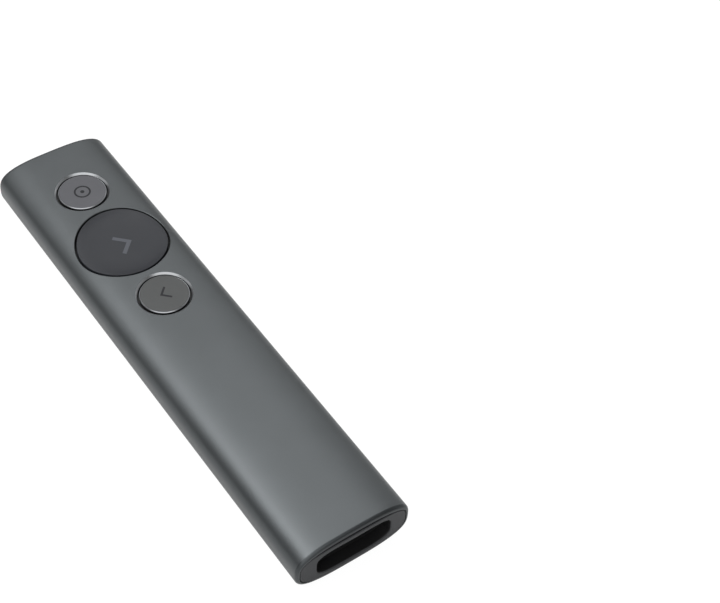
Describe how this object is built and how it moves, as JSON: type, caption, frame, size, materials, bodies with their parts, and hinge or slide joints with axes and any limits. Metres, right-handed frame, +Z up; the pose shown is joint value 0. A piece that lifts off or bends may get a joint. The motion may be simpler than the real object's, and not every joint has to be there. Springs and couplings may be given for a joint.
{
  "type": "wireless presentation clicker",
  "caption": "Slim handheld presentation clicker: flattened metal tube with pointer, forward and back push buttons in the top and a receiver dock in the tail.",
  "frame": {"origin": "middle of the underside, on the surface that the clicker lies on", "axes": "+Z up out of the button side, +Y along the body to the nose, X across the body; the receiver dock opens to -Y"},
  "size_m": [0.0282, 0.1312, 0.0121],
  "materials": {
    "anodised_metal": "fine satin blasted and anodised, warm dark grey",
    "cap_metal": "fine satin anodised, with bright cut edges",
    "cap_plastic": "fine spark-eroded matt",
    "dock_plastic": "matt black",
    "soft_skin": "soft-touch matt",
    "dark_mark": "printed mark",
    "light_mark": "printed mark",
    "carrier_plastic": "moulded",
    "chassis_plastic": "moulded, glass filled",
    "contact_plastic": "moulded",
    "connector_plastic": "natural nylon",
    "switch_resin": "moulded",
    "chip_resin": "moulded epoxy",
    "circuit_board": "solder mask",
    "flex_film": "polyimide film",
    "lead_sleeve": "silicone sleeve",
    "foam": "closed-cell foam",
    "boot_rubber": "moulded rubber",
    "cell_pouch": "laminated foil pouch",
    "spring_steel": "rolled strip",
    "plated_steel": "nickel plated",
    "gold_plate": "gold flash over phosphor bronze",
    "weight_alloy": "sintered heavy alloy"
  },
  "bodies": {
    "housing": {"housing_tube": "anodised_metal", "nose_cap": "cap_plastic", "tail_cap": "cap_plastic", "receiver_dock": "dock_plastic", "dock_springs": "spring_steel", "charge_port_shell": "plated_steel", "charge_port_tongue": "contact_plastic", "charge_board": "circuit_board", "charge_board_screws": "plated_steel", "main_board": "circuit_board", "main_board_screws": "plated_steel", "dock_screws": "plated_steel", "board_flex": "flex_film", "radio_shield": "plated_steel", "processor_chip": "chip_resin", "motion_sensor": "chip_resin", "battery_connector": "connector_plastic", "antenna": "gold_plate", "battery_foam": "foam", "battery_cell": "cell_pouch", "battery_leads": "lead_sleeve", "motor_can": "plated_steel", "motor_boot": "boot_rubber", "motor_leads": "lead_sleeve", "chassis": "chassis_plastic", "button_frame": "chassis_plastic", "pointer_switch": "switch_resin", "pointer_dome": "spring_steel", "next_switch": "switch_resin", "next_dome": "spring_steel", "back_switch": "switch_resin", "back_dome": "spring_steel"},
    "pointer_button": {"pointer_cap": "cap_metal", "pointer_icon": "dark_mark", "pointer_carrier": "carrier_plastic", "pointer_stem": "contact_plastic"},
    "next_button": {"next_skin": "soft_skin", "next_chevron": "light_mark", "next_carrier": "carrier_plastic", "next_stem": "contact_plastic"},
    "back_button": {"back_cap": "cap_metal", "back_chevron": "dark_mark", "back_carrier": "carrier_plastic", "back_stem": "contact_plastic"},
    "motor_rotor": {"motor_shaft": "spring_steel", "eccentric_weight": "weight_alloy"}
  },
  "joints": [
    {"name": "pointer_press", "type": "slide", "parent": "housing", "child": "pointer_button", "axis": [0, 0, -1], "range_m": [0, 0.0003], "stiffness_N_per_m": 1500, "deforming": ["pointer_dome"]},
    {"name": "next_press", "type": "slide", "parent": "housing", "child": "next_button", "axis": [0, 0, -1], "range_m": [0, 0.0003], "stiffness_N_per_m": 1500, "deforming": ["next_dome"]},
    {"name": "back_press", "type": "slide", "parent": "housing", "child": "back_button", "axis": [0, 0, -1], "range_m": [0, 0.0003], "stiffness_N_per_m": 1500, "deforming": ["back_dome"]},
    {"name": "motor_spin", "type": "hinge", "parent": "housing", "child": "motor_rotor", "pos_m": [0.0065, -0.0031, 0.0049], "axis": [0, 1, 0], "continuous": true}
  ]
}
